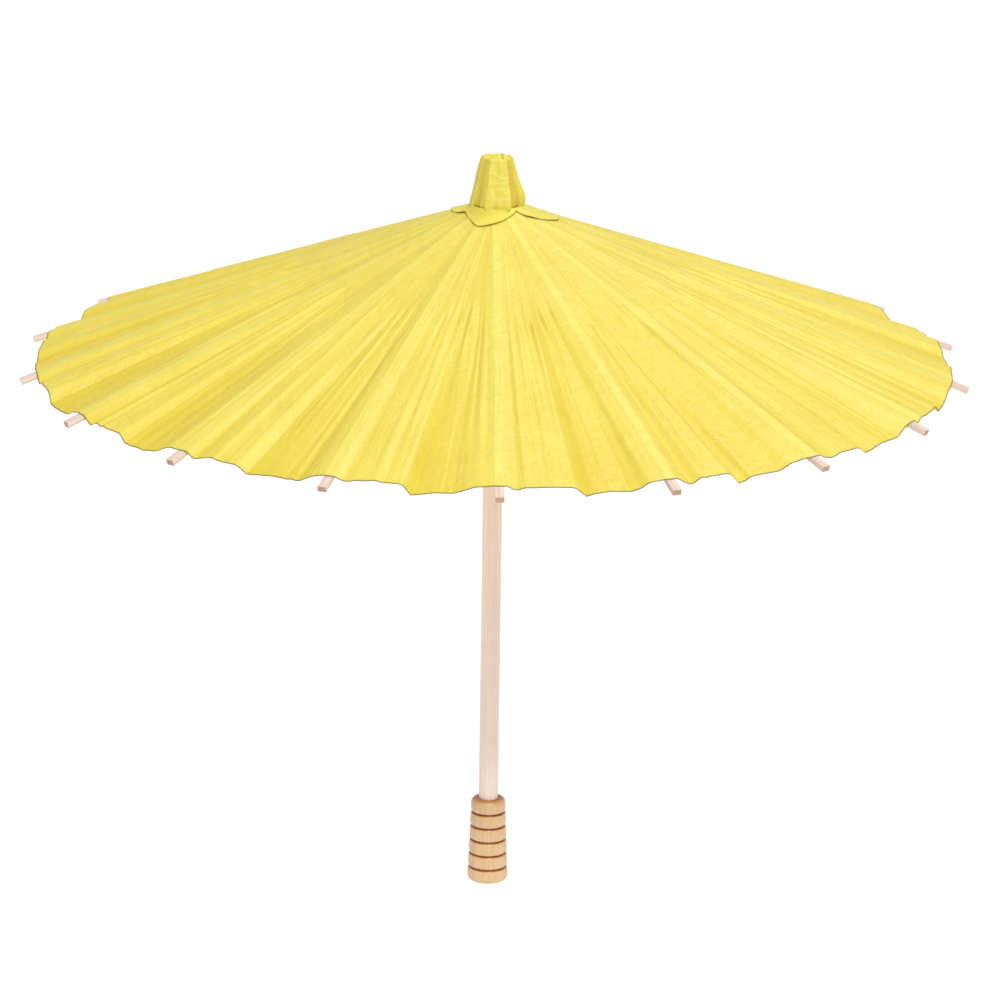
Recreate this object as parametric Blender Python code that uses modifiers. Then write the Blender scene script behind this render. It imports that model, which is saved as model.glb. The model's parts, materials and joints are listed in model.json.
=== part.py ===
"""Oil paper umbrella, open: a paper canopy on wooden ribs that fold down round a turned shaft.

Each rib hinges on the head's wire ring, and a stretcher of the same length as the rib's inner part
joins its middle to the runner. Both rings have one radius, so the runner slides straight along the
shaft while every rib turns by one angle and every stretcher by twice that angle on its rib.

Metres, +Z up along the shaft. The origin is the centre of the handle's flat foot, and the first rib
points to -Y.
"""

from math import atan, cos, pi, radians, sin, sqrt, tan

import bmesh
import bpy
from mathutils import Matrix, Vector

# Driving dimensions
RIBS = 18
FIRST_AZIMUTH = radians(-90)
TIP_RADIUS = 0.260
TIP_HEIGHT = 0.302
PAPER_RADIUS = 0.251
OPEN_SLOPE = radians(19.5)
INNER_SHARE = 0.388
RING_RADIUS = 0.0096
GAP = 0.0003

# Shaft and handle
SHAFT_RADIUS = 0.0054
SHAFT_FOOT = 0.0200
SHAFT_TOP = 0.4162
SHAFT_CHAMFER = 0.0006
HANDLE_HEIGHT = 0.0490
HANDLE_TOP_RADIUS = 0.0095
HANDLE_FOOT_RADIUS = 0.01145
HANDLE_RINGS = 6
HANDLE_GROOVE = 0.0012
HANDLE_EDGE = 0.0023
POINTS_PER_RING = 4

# Ribs and stretchers
RIB_WIDTH = 0.0045
RIB_DEPTH = 0.0030
BLADE_WIDTH = 0.0015
BLADE_DEPTH = 0.0026
BLADE_END = 0.0013
BLADE_LENGTH = 0.014
TAPER_END = 0.070
PIN_RADIUS = 0.0004
PIN_HOLE_RADIUS = 0.00065
PIN_SHY = 0.0001
MORTISE_WIDTH = 0.0020
MORTISE_BEFORE = 0.008
MORTISE_AFTER = 0.022
STRETCHER_DEPTH = 0.0036
STRETCHER_TAPER = 0.010

# Head and runner
WHEEL_RADIUS = 0.0125
SLOT_FLOOR_RADIUS = 0.0074
SLOT_WIDTH = 0.0019
SLOT_PAST_RING = 0.0026
WHEEL_LIP = 0.0035
WHEEL_BACK = 0.0040
BORE_RADIUS = SHAFT_RADIUS + GAP
HEAD_TOP = 0.4166
HEAD_TOP_RADIUS = 0.0072
RUNNER_LENGTH = 0.040
RUNNER_TUBE_RADIUS = 0.0090
RUNNER_FOOT_RADIUS = 0.0100
RUNNER_FOOT_HEIGHT = 0.004
RUNNER_FLARE = 0.002
WIRE_SIDES = 6
PIN_SIDES = 8

# Cap
CAP_FOOT_RADIUS = 0.0153
CAP_TOP_RADIUS = 0.0085
CAP_TOP = 0.4196
CAP_ABOVE_RING = 0.0016
CAP_WALL = 0.0005
CAP_HOLE_RADIUS = 0.0036

# Catch
CATCH_WIDTH = 0.0014
CATCH_SLOT_WIDTH = 0.0020
CATCH_LENGTH = 0.0370
CATCH_THICKNESS = 0.0012
CATCH_PIVOT_RADIUS = 0.0028
CATCH_NOSE_RADIUS = 0.0080
CATCH_NOSE_HEIGHT = 0.0050
CATCH_SLOT_DEPTH = 0.0070
CATCH_SLOT_SPARE = 0.0025

# Paper
PAPER_THICKNESS = 0.0003
PAPER_INNER_RADIUS = 0.0135
PAPER_SPLIT = 0.0002
STRIP_HALF_WIDTH = 0.0028
PLEAT_DEPTH = 0.0045
PLEAT_POWER = 1.5
PAPER_ROWS = 4
PAPER_COLUMNS = 9

ROUND_STEPS = 24
HOLE_SIDES = 10

# Worked out from the driving dimensions
RIB_STEP = 2 * pi / RIBS
RIB_LENGTH = (TIP_RADIUS - RING_RADIUS) / cos(OPEN_SLOPE)
HEAD_RING = TIP_HEIGHT + RIB_LENGTH * sin(OPEN_SLOPE)
LINK = INNER_SHARE * RIB_LENGTH
OPEN_LEAN = pi / 2 - OPEN_SLOPE
RUNNER_RING = HEAD_RING - 2 * LINK * cos(OPEN_LEAN)
RUNNER_FOOT = RUNNER_RING - RUNNER_LENGTH
RIB_UNDER_PAPER = RIB_DEPTH / 2 + GAP
FACET_TILT = atan(sin(OPEN_SLOPE) * tan(RIB_STEP / 2))


def clear_scene():
    for obj in list(bpy.data.objects):
        bpy.data.objects.remove(obj)


def new_collection(name):
    collection = bpy.data.collections.new(name)
    bpy.context.scene.collection.children.link(collection)
    return collection


clear_scene()
PARTS = new_collection("oil_paper_umbrella")
CUTTERS = new_collection("cutters")


def make_material(name, color, roughness, metallic=0.0):
    material = bpy.data.materials.new(name)
    material.use_nodes = True
    shader = material.node_tree.nodes["Principled BSDF"]
    shader.inputs["Base Color"].default_value = (*color, 1.0)
    shader.inputs["Roughness"].default_value = roughness
    shader.inputs["Metallic"].default_value = metallic
    material.diffuse_color = (*color, 1.0)
    return material


PALE_WOOD = make_material("pale_wood", (0.78, 0.66, 0.52), 0.6)
HANDLE_WOOD = make_material("varnished_wood", (0.60, 0.36, 0.16), 0.35)
YELLOW_PAPER = make_material("yellow_paper", (0.93, 0.82, 0.17), 0.65)
WIRE_STEEL = make_material("spring_steel", (0.55, 0.55, 0.56), 0.3, 1.0)


def add_object(name, data, material, place=None, parent=None):
    obj = bpy.data.objects.new(name, data)
    PARTS.objects.link(obj)
    if not data.materials:
        data.materials.append(material)
    obj.parent = parent
    obj.matrix_local = place or Matrix.Identity(4)
    return obj


def turned(name, profile, material, height=0.0, is_ring=False, steps=ROUND_STEPS):
    """A solid of revolution. The profile's (radius, z) points run down the outer side."""
    mesh = bpy.data.meshes.new(name)
    points = [(radius, 0.0, z) for radius, z in profile]
    edges = [(i, i + 1) for i in range(len(points) - 1)]
    if is_ring:
        edges.append((len(points) - 1, 0))
    mesh.from_pydata(points, edges, [])
    obj = add_object(name, mesh, material, Matrix.Translation((0, 0, height)))
    screw = obj.modifiers.new("turn", "SCREW")
    screw.steps = steps
    screw.render_steps = steps
    screw.use_merge_vertices = True
    screw.merge_threshold = 0.00001
    return obj


def boolean(obj, other, operation):
    modifier = obj.modifiers.new(operation.lower(), "BOOLEAN")
    modifier.operation = operation
    modifier.object = other
    as_cutter(other)


def as_cutter(obj):
    obj.hide_render = True
    obj.display_type = "WIRE"
    for collection in list(obj.users_collection):
        collection.objects.unlink(obj)
    CUTTERS.objects.link(obj)


def box_cutter(name, low, high, turns=(0.0,)):
    """One closed box per turn about Z, in one object."""
    bm = bmesh.new()
    size = Vector(high) - Vector(low)
    middle = (Vector(high) + Vector(low)) / 2
    for turn in turns:
        place = Matrix.Rotation(turn, 4, "Z") @ Matrix.Translation(middle) @ Matrix.Diagonal((*size, 1))
        bmesh.ops.create_cube(bm, size=1.0, matrix=place)
    mesh = bpy.data.meshes.new(name)
    bm.to_mesh(mesh)
    bm.free()
    obj = bpy.data.objects.new(name, mesh)
    CUTTERS.objects.link(obj)
    as_cutter(obj)
    return obj


def circle(center, radius, sides=HOLE_SIDES):
    return [
        (center + radius * cos(2 * pi * i / sides), radius * sin(2 * pi * i / sides))
        for i in range(sides)
    ]


def extruded(name, outlines, half_thickness):
    """A mesh object from closed (x, y) outlines, the first the outer one and the others its holes."""
    curve = bpy.data.curves.new(name, "CURVE")
    curve.dimensions = "2D"
    curve.fill_mode = "BOTH"
    curve.extrude = half_thickness
    for outline in outlines:
        spline = curve.splines.new("POLY")
        spline.points.add(len(outline) - 1)
        for point, (x, y) in zip(spline.points, outline):
            point.co = (x, y, 0, 1)
        spline.use_cyclic_u = True
    source = bpy.data.objects.new(name + "_curve", curve)
    CUTTERS.objects.link(source)
    graph = bpy.context.evaluated_depsgraph_get()
    mesh = bpy.data.meshes.new_from_object(source.evaluated_get(graph))
    bpy.data.objects.remove(source)
    bm = bmesh.new()
    bm.from_mesh(mesh)
    bmesh.ops.remove_doubles(bm, verts=bm.verts, dist=0.000001)
    bmesh.ops.recalc_face_normals(bm, faces=bm.faces)
    bm.to_mesh(mesh)
    bm.free()
    obj = bpy.data.objects.new(name, mesh)
    CUTTERS.objects.link(obj)
    as_cutter(obj)
    return obj


def stand_up(obj):
    """Turns an outline drawn in X and Y so that its Y points up and its thickness runs along Y."""
    obj.matrix_world = Matrix.Rotation(pi / 2, 4, "X")


def finished_mesh(obj, name):
    """The object's mesh with its modifiers applied, to share between copies. The object is removed."""
    graph = bpy.context.evaluated_depsgraph_get()
    mesh = bpy.data.meshes.new_from_object(obj.evaluated_get(graph))
    mesh.transform(obj.matrix_world)
    mesh.name = name
    mesh.materials.clear()
    bpy.data.objects.remove(obj)
    return mesh


def rib_mesh():
    """A slat along +X from its hinge: its side view crossed with its plan."""
    half_depth = RIB_DEPTH / 2
    half_blade = BLADE_DEPTH / 2
    side = [
        (-BLADE_END, -half_blade),
        (BLADE_LENGTH, -half_blade),
        (TAPER_END, -half_depth),
        (RIB_LENGTH, -half_depth),
        (RIB_LENGTH, half_depth),
        (TAPER_END, half_depth),
        (BLADE_LENGTH, half_blade),
        (-BLADE_END, half_blade),
    ]
    rib = extruded("rib", [side, circle(0, PIN_HOLE_RADIUS), circle(LINK, PIN_HOLE_RADIUS)], RIB_WIDTH)
    stand_up(rib)
    reach = RIB_LENGTH + RIB_WIDTH
    half_width = RIB_WIDTH / 2
    plan = [
        (-RIB_WIDTH, -BLADE_WIDTH / 2),
        (BLADE_LENGTH, -BLADE_WIDTH / 2),
        (TAPER_END, -half_width),
        (reach, -half_width),
        (reach, half_width),
        (TAPER_END, half_width),
        (BLADE_LENGTH, BLADE_WIDTH / 2),
        (-RIB_WIDTH, BLADE_WIDTH / 2),
    ]
    start = LINK - MORTISE_BEFORE
    end = LINK + MORTISE_AFTER
    half_slot = MORTISE_WIDTH / 2
    mortise = [(start, -half_slot), (end, -half_slot), (end, half_slot), (start, half_slot)]
    outline = extruded("rib_plan", [plan, mortise], RIB_WIDTH)
    boolean(rib, outline, "INTERSECT")
    return finished_mesh(rib, "rib")


def stretcher_mesh():
    """A thin blade along +X from its pin on the rib to its hole at the runner's ring."""
    half_end = BLADE_DEPTH / 2
    half_middle = STRETCHER_DEPTH / 2
    outer = LINK + BLADE_END
    side = [
        (-half_end, -half_end / 2),
        (0, -half_end),
        (STRETCHER_TAPER, -half_middle),
        (LINK - STRETCHER_TAPER, -half_middle),
        (LINK, -half_end),
        (outer, -half_end / 2),
        (outer, half_end / 2),
        (LINK, half_end),
        (LINK - STRETCHER_TAPER, half_middle),
        (STRETCHER_TAPER, half_middle),
        (0, half_end),
        (-half_end, half_end / 2),
    ]
    blade = extruded("stretcher", [side, circle(LINK, PIN_HOLE_RADIUS)], BLADE_WIDTH / 2)
    stand_up(blade)
    pin = extruded("pin", [circle(0, PIN_RADIUS, PIN_SIDES)], RIB_WIDTH / 2 - PIN_SHY)
    stand_up(pin)
    boolean(blade, pin, "UNION")
    return finished_mesh(blade, "stretcher")


def paper_point(row, column):
    """A point of the paper's underside in its rib's frame; row runs 0 to 1, column -1 to 1."""
    radius = PAPER_INNER_RADIUS + row * (PAPER_RADIUS - PAPER_INNER_RADIUS)
    edge = radius * sin(RIB_STEP / 2) - PAPER_SPLIT
    strip = min(STRIP_HALF_WIDTH, edge / 2)
    strip_column = 1 / PAPER_COLUMNS
    away = (abs(column) - strip_column) / (1 - strip_column)
    side = 1 if column > 0 else -1
    across = side * (strip + away * (edge - strip))
    along = (sqrt(radius**2 - across**2) - RING_RADIUS) / cos(OPEN_SLOPE)
    pleat = PLEAT_DEPTH * row**PLEAT_POWER * (1 - cos(2 * pi * away)) / 2
    fall = (abs(across) - strip) * tan(FACET_TILT) + pleat
    return Vector((along, across, RIB_UNDER_PAPER - fall))


def gore_mesh():
    """One rib's paper: flat over the rib, then down into a pleat and up to the split on each side."""
    bm = bmesh.new()
    bmesh.ops.create_grid(bm, x_segments=PAPER_ROWS, y_segments=PAPER_COLUMNS, size=1.0)
    for vert in bm.verts:
        vert.co = paper_point((vert.co.x + 1) / 2, vert.co.y)
    bmesh.ops.recalc_face_normals(bm, faces=bm.faces)
    bm.faces.ensure_lookup_table()
    if bm.faces[0].normal.z < 0:
        bmesh.ops.reverse_faces(bm, faces=bm.faces)
    mesh = bpy.data.meshes.new("canopy_gore")
    bm.to_mesh(mesh)
    bm.free()
    return mesh


def add_shaft():
    profile = [
        (0, SHAFT_TOP),
        (SHAFT_RADIUS - SHAFT_CHAMFER, SHAFT_TOP),
        (SHAFT_RADIUS, SHAFT_TOP - SHAFT_CHAMFER),
        (SHAFT_RADIUS, SHAFT_FOOT),
        (0, SHAFT_FOOT),
    ]
    shaft = turned("shaft", profile, PALE_WOOD)
    top = RUNNER_FOOT + CATCH_SLOT_SPARE
    low = (-CATCH_SLOT_WIDTH / 2, -2 * SHAFT_RADIUS, top - CATCH_LENGTH - 2 * CATCH_SLOT_SPARE)
    high = (CATCH_SLOT_WIDTH / 2, CATCH_SLOT_DEPTH - SHAFT_RADIUS, top)
    boolean(shaft, box_cutter("catch_slot", low, high), "DIFFERENCE")


def handle_radius(share):
    return HANDLE_FOOT_RADIUS + share * (HANDLE_TOP_RADIUS - HANDLE_FOOT_RADIUS)


def add_handle():
    profile = [(BORE_RADIUS, HANDLE_HEIGHT), (handle_radius(1) - HANDLE_EDGE, HANDLE_HEIGHT)]
    count = HANDLE_RINGS * POINTS_PER_RING
    for i in range(1, count):
        share = 1 - i / count
        swell = sqrt(abs(sin(pi * HANDLE_RINGS * share)))
        profile.append((handle_radius(share) - HANDLE_GROOVE * (1 - swell), share * HANDLE_HEIGHT))
    profile.append((handle_radius(0) - HANDLE_EDGE, 0))
    profile.append((0, 0))
    profile.append((0, SHAFT_FOOT - GAP))
    profile.append((BORE_RADIUS, SHAFT_FOOT - GAP))
    turned("handle", profile, HANDLE_WOOD, is_ring=True)


def wire_ring(name):
    """The wire that the blades hinge on, as a ring about Z."""
    profile = [(RING_RADIUS + x, -z) for x, z in circle(0, PIN_RADIUS, WIRE_SIDES)]
    ring = turned(name, profile, WIRE_STEEL, is_ring=True, steps=2 * RIBS)
    as_cutter(ring)
    return ring


def rib_azimuths():
    return [FIRST_AZIMUTH + i * RIB_STEP for i in range(RIBS)]


def slot_cutters(name, low_z, high_z):
    low = (SLOT_FLOOR_RADIUS, -SLOT_WIDTH / 2, low_z)
    high = (2 * WHEEL_RADIUS, SLOT_WIDTH / 2, high_z)
    return box_cutter(name, low, high, rib_azimuths())


def cut_wheel(obj, name, low_z, high_z):
    """Slots for the blades round the wheel, then the wire ring across them, at the object's height."""
    slots = slot_cutters(name + "_slots", low_z, high_z)
    slots.location = obj.location
    boolean(obj, slots, "DIFFERENCE")
    wire = wire_ring(name + "_wire")
    wire.location = obj.location
    boolean(obj, wire, "UNION")


def add_top_hub():
    top = HEAD_TOP - HEAD_RING
    profile = [
        (BORE_RADIUS, top),
        (HEAD_TOP_RADIUS, top),
        (WHEEL_RADIUS, WHEEL_BACK),
        (WHEEL_RADIUS, -WHEEL_LIP),
        (BORE_RADIUS, -WHEEL_LIP),
    ]
    hub = turned("top_hub", profile, PALE_WOOD, height=HEAD_RING, is_ring=True, steps=2 * RIBS)
    cut_wheel(hub, "head", -2 * WHEEL_LIP, SLOT_PAST_RING)


def add_runner():
    foot = -RUNNER_LENGTH
    profile = [
        (BORE_RADIUS, WHEEL_LIP),
        (WHEEL_RADIUS, WHEEL_LIP),
        (WHEEL_RADIUS, -WHEEL_BACK),
        (RUNNER_TUBE_RADIUS, -2 * WHEEL_BACK),
        (RUNNER_TUBE_RADIUS, foot + RUNNER_FOOT_HEIGHT + RUNNER_FLARE),
        (RUNNER_FOOT_RADIUS, foot + RUNNER_FOOT_HEIGHT),
        (RUNNER_FOOT_RADIUS, foot),
        (BORE_RADIUS, foot),
    ]
    runner = turned("runner", profile, PALE_WOOD, height=RUNNER_RING, is_ring=True, steps=2 * RIBS)
    cut_wheel(runner, "runner", -SLOT_PAST_RING, 2 * WHEEL_LIP)


def add_cap():
    foot = HEAD_RING + CAP_ABOVE_RING
    profile = [
        (CAP_HOLE_RADIUS, CAP_TOP),
        (CAP_TOP_RADIUS, CAP_TOP),
        (CAP_FOOT_RADIUS, foot),
        (CAP_FOOT_RADIUS - CAP_WALL, foot),
        (CAP_TOP_RADIUS - CAP_WALL, CAP_TOP - CAP_WALL),
        (CAP_HOLE_RADIUS, CAP_TOP - CAP_WALL),
    ]
    turned("cap", profile, YELLOW_PAPER, is_ring=True)


def add_catch():
    """The sprung tongue, drawn in radius and height, with its origin at its bending point."""
    top = CATCH_LENGTH - GAP
    nose = CATCH_NOSE_RADIUS - CATCH_PIVOT_RADIUS
    half = CATCH_THICKNESS / 2
    outline = [
        (-half, -half),
        (half, -half),
        (half, top - CATCH_NOSE_HEIGHT),
        (nose, top - CATCH_THICKNESS),
        (nose, top),
        (-half, top),
    ]
    tongue = extruded("tongue", [outline], CATCH_WIDTH / 2)
    stand_up(tongue)
    mesh = finished_mesh(tongue, "catch_spring")
    turn = Matrix.Rotation(FIRST_AZIMUTH, 4, "Z")
    place = turn @ Matrix.Translation((CATCH_PIVOT_RADIUS, 0, RUNNER_FOOT - CATCH_LENGTH))
    add_object("catch_spring", mesh, WIRE_STEEL, place)


def add_ribs():
    rib = rib_mesh()
    stretcher = stretcher_mesh()
    gore = gore_mesh()
    link_turn = Matrix.Rotation(pi / 2 + OPEN_LEAN - OPEN_SLOPE, 4, "Y")
    link_place = Matrix.Translation((LINK, 0, 0)) @ link_turn
    for number, azimuth in enumerate(rib_azimuths(), 1):
        ring_point = Matrix.Translation((RING_RADIUS, 0, HEAD_RING))
        place = Matrix.Rotation(azimuth, 4, "Z") @ ring_point @ Matrix.Rotation(OPEN_SLOPE, 4, "Y")
        slat = add_object(f"rib_{number:02d}", rib, PALE_WOOD, place)
        add_object(f"stretcher_{number:02d}", stretcher, PALE_WOOD, link_place, slat)
        paper = add_object(f"canopy_gore_{number:02d}", gore, YELLOW_PAPER, None, slat)
        solidify = paper.modifiers.new("thickness", "SOLIDIFY")
        solidify.thickness = PAPER_THICKNESS
        solidify.offset = 1


add_shaft()
add_handle()
add_top_hub()
add_runner()
add_cap()
add_catch()
add_ribs()
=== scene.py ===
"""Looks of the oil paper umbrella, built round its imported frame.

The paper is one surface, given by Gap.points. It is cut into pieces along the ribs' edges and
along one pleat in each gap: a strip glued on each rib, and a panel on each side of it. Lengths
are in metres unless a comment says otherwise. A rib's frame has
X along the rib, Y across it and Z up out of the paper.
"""

import json
from math import atan2, cos, hypot, pi, radians, sin, sqrt, tan
from random import Random

import bmesh
import bpy
import numpy as np
from mathutils import Euler, Matrix, Vector

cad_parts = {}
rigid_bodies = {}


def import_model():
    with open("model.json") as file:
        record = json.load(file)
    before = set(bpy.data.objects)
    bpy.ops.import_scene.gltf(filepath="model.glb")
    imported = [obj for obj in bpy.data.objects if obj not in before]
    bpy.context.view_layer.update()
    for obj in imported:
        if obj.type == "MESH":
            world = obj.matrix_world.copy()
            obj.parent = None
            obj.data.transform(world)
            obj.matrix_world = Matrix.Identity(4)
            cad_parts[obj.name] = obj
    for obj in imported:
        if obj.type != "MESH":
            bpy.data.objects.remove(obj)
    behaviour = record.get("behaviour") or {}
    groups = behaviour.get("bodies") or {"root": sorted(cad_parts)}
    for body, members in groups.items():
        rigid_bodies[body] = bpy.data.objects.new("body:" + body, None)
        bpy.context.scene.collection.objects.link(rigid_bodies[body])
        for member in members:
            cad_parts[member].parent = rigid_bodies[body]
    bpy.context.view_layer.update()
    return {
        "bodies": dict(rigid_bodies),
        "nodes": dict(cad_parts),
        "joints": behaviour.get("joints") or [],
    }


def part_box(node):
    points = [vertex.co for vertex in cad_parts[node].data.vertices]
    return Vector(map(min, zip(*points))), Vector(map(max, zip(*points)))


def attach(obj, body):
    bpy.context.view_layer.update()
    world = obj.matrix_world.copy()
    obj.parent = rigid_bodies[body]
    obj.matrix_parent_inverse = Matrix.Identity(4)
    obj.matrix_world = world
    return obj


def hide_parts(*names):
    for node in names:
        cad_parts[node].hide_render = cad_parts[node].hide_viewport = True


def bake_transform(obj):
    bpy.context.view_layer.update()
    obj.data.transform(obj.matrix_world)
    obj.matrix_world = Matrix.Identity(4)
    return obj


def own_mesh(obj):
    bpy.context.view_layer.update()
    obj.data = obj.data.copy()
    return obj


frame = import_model()

# From the frame
JOINTS = {joint["name"]: joint for joint in frame["joints"]}
NUMBERS = sorted(body[-2:] for body in frame["bodies"] if body.startswith("rib_"))
RIBS = len(NUMBERS)
RIB_STEP = 2 * pi / RIBS
HINGE = Vector(JOINTS["open_close"]["pos_m"])
PIN = Vector(JOINTS["stretcher_01_hinge"]["pos_m"])
RING_RADIUS = hypot(HINGE.x, HINGE.y)
HEAD_RING = HINGE.z
FIRST_AZIMUTH = atan2(HINGE.y, HINGE.x)
PIN_RADIUS = hypot(PIN.x, PIN.y)
SLOPE = atan2(HEAD_RING - PIN.z, PIN_RADIUS - RING_RADIUS)
LINK = hypot(HEAD_RING - PIN.z, PIN_RADIUS - RING_RADIUS)
RUNNER_RING = JOINTS["runner_carry"]["pos_m"][2]
TIP_REACH = -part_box("rib_01")[0].y
PAPER_RADIUS = -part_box("canopy_gore_01")[0].y
PAPER_INNER_RADIUS = -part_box("canopy_gore_01")[1].y
HANDLE_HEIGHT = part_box("handle")[1].z
SHAFT_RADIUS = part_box("shaft")[1].x
SHAFT_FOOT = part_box("shaft")[0].z
SHAFT_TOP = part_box("shaft")[1].z
CAP_FOOT_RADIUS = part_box("cap")[1].x
CAP_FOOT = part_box("cap")[0].z
CAP_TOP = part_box("cap")[1].z

SEED = 7
MM = 0.001

# Paper
PAPER_THICKNESS = 0.0002
PAPER_OVER_RIB = 0.00165
SHARP_EDGE = radians(50)


def rib_azimuth(index):
    return FIRST_AZIMUTH + index * RIB_STEP


def rib_direction(index):
    """Level and straight out over the rib."""
    return Vector((cos(rib_azimuth(index)), sin(rib_azimuth(index)), 0))


def rib_frame(index):
    """Rib coordinates to the row frame."""
    turn = Matrix.Rotation(rib_azimuth(index), 4, "Z")
    return turn @ Matrix.Translation((RING_RADIUS, 0, HEAD_RING)) @ Matrix.Rotation(SLOPE, 4, "Y")


# ---------------------------------------------------------------- materials


def node(tree, kind, inputs=None, **settings):
    """A new node. A value of inputs is either a socket to link or a number to set."""
    made = tree.nodes.new(kind)
    for key, value in settings.items():
        setattr(made, key, value)
    for key, value in (inputs or {}).items():
        socket = made.inputs[key]
        if isinstance(value, bpy.types.NodeSocket):
            tree.links.new(value, socket)
        else:
            socket.default_value = value
    return made


def ramp(tree, factor, *stops):
    """A colour ramp through (position, color) stops."""
    made = node(tree, "ShaderNodeValToRGB", {"Fac": factor})
    elements = made.color_ramp.elements
    while len(elements) < len(stops):
        elements.new(0.5)
    for element, (position, color) in zip(elements, stops):
        element.position = position
        element.color = (*color, 1)
    return made.outputs["Color"]


def noise(tree, vector, scale, detail=3, roughness=0.5, distortion=0.0):
    inputs = {"Vector": vector, "Scale": scale, "Detail": detail, "Roughness": roughness,
              "Distortion": distortion}
    return node(tree, "ShaderNodeTexNoise", inputs).outputs["Fac"]


def mapped(tree, vector, scale=(1, 1, 1), rotation=(0, 0, 0)):
    inputs = {"Vector": vector, "Scale": scale, "Rotation": rotation}
    return node(tree, "ShaderNodeMapping", inputs).outputs["Vector"]


# Places of a Mix node's colour sockets, which share their names with its number sockets
MIX_FACTOR = 0
MIX_FIRST = 6
MIX_SECOND = 7
MIX_RESULT = 2


def mixed(tree, kind, factor, first, second):
    """Two colours blended; either may be a socket or an (r, g, b)."""
    inputs = {MIX_FACTOR: factor}
    for key, color in ((MIX_FIRST, first), (MIX_SECOND, second)):
        inputs[key] = color if isinstance(color, bpy.types.NodeSocket) else (*color, 1)
    return node(tree, "ShaderNodeMix", inputs, data_type="RGBA", blend_type=kind).outputs[MIX_RESULT]


def tinted(tree, color, tint, factor=1.0):
    return mixed(tree, "MULTIPLY", factor, color, tint)


def calculated(tree, operation, first, second):
    return node(tree, "ShaderNodeMath", {0: first, 1: second}, operation=operation).outputs[0]


def object_place(tree):
    return node(tree, "ShaderNodeTexCoord").outputs["Object"]


def uv_place(tree, name):
    return node(tree, "ShaderNodeUVMap", uv_map=name).outputs["UV"]


def point_value(tree, name):
    return node(tree, "ShaderNodeAttribute", attribute_name=name).outputs["Fac"]


def part_of(tree, vector, axis):
    return node(tree, "ShaderNodeSeparateXYZ", {"Vector": vector}).outputs[axis]


def add_bump(tree, target, height, strength, distance, over=None):
    """Bumps a shader's normal, over another bump if one is given, and returns the bump's normal."""
    inputs = {"Strength": strength, "Distance": distance, "Height": height}
    if over is not None:
        inputs["Normal"] = over
    normal = node(tree, "ShaderNodeBump", inputs).outputs["Normal"]
    if target is not None:
        tree.links.new(normal, target.inputs["Normal"])
    return normal


def new_material(name, roughness, specular, metallic=0.0):
    """A material with its node tree and its shader."""
    material = bpy.data.materials.new(name)
    material.use_nodes = True
    tree = material.node_tree
    shader = tree.nodes["Principled BSDF"]
    shader.inputs["Roughness"].default_value = roughness
    shader.inputs["Specular IOR Level"].default_value = specular
    shader.inputs["Metallic"].default_value = metallic
    return material, tree, shader


# Paper: dye, and what the grain, the fibres, the painted shade of the folds and the painted light of the
# ridges multiply it by
DYE_DARK = (0.87, 0.755, 0.096)
DYE_LIGHT = (0.90, 0.800, 0.124)
GRAIN_DARK = (0.97, 0.95, 0.55)
GRAIN_LIGHT = (1.0, 1.0, 1.45)
FIBRE_PALE = (1.02, 1.05, 1.5)
# Painted light and shade: ridges and the strips over the ribs are painted paler, valleys darker and more
# saturated
RIDGE_PAINTED_LIGHT = (1, 1, 1.12)
FOLD_PAINTED_SHADE = (0.96, 0.92, 0.60)
CUT_EDGE = (0.12, 0.06, 0.012)
THROUGH_TINT = (1.0, 0.96, 0.55)
PLAIN = (1, 1, 1)

# Creases run out from the shaft; they begin at the first of these radii and are full at the second
CREASES_BEGIN = 0.05
CREASES_FULL = 0.16
CREASES_LEAST = 0.08
RAY_SCALE = (150, 9, 1)
CRUMPLE_SCALE = 110
CRUMPLE_SIZE = 1.3
CREASE_HEIGHT = 0.0010
CLOUD_SCALE = 28
GRAIN_SCALE = 900
GRAIN_HEIGHT = 0.0001
# Two crossing sets of fibres: (scale, turn)
FIBRES = (((70, 1100, 1), (0, 0, 0.5)), ((1000, 60, 1), (0, 0, -0.3)))


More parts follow.
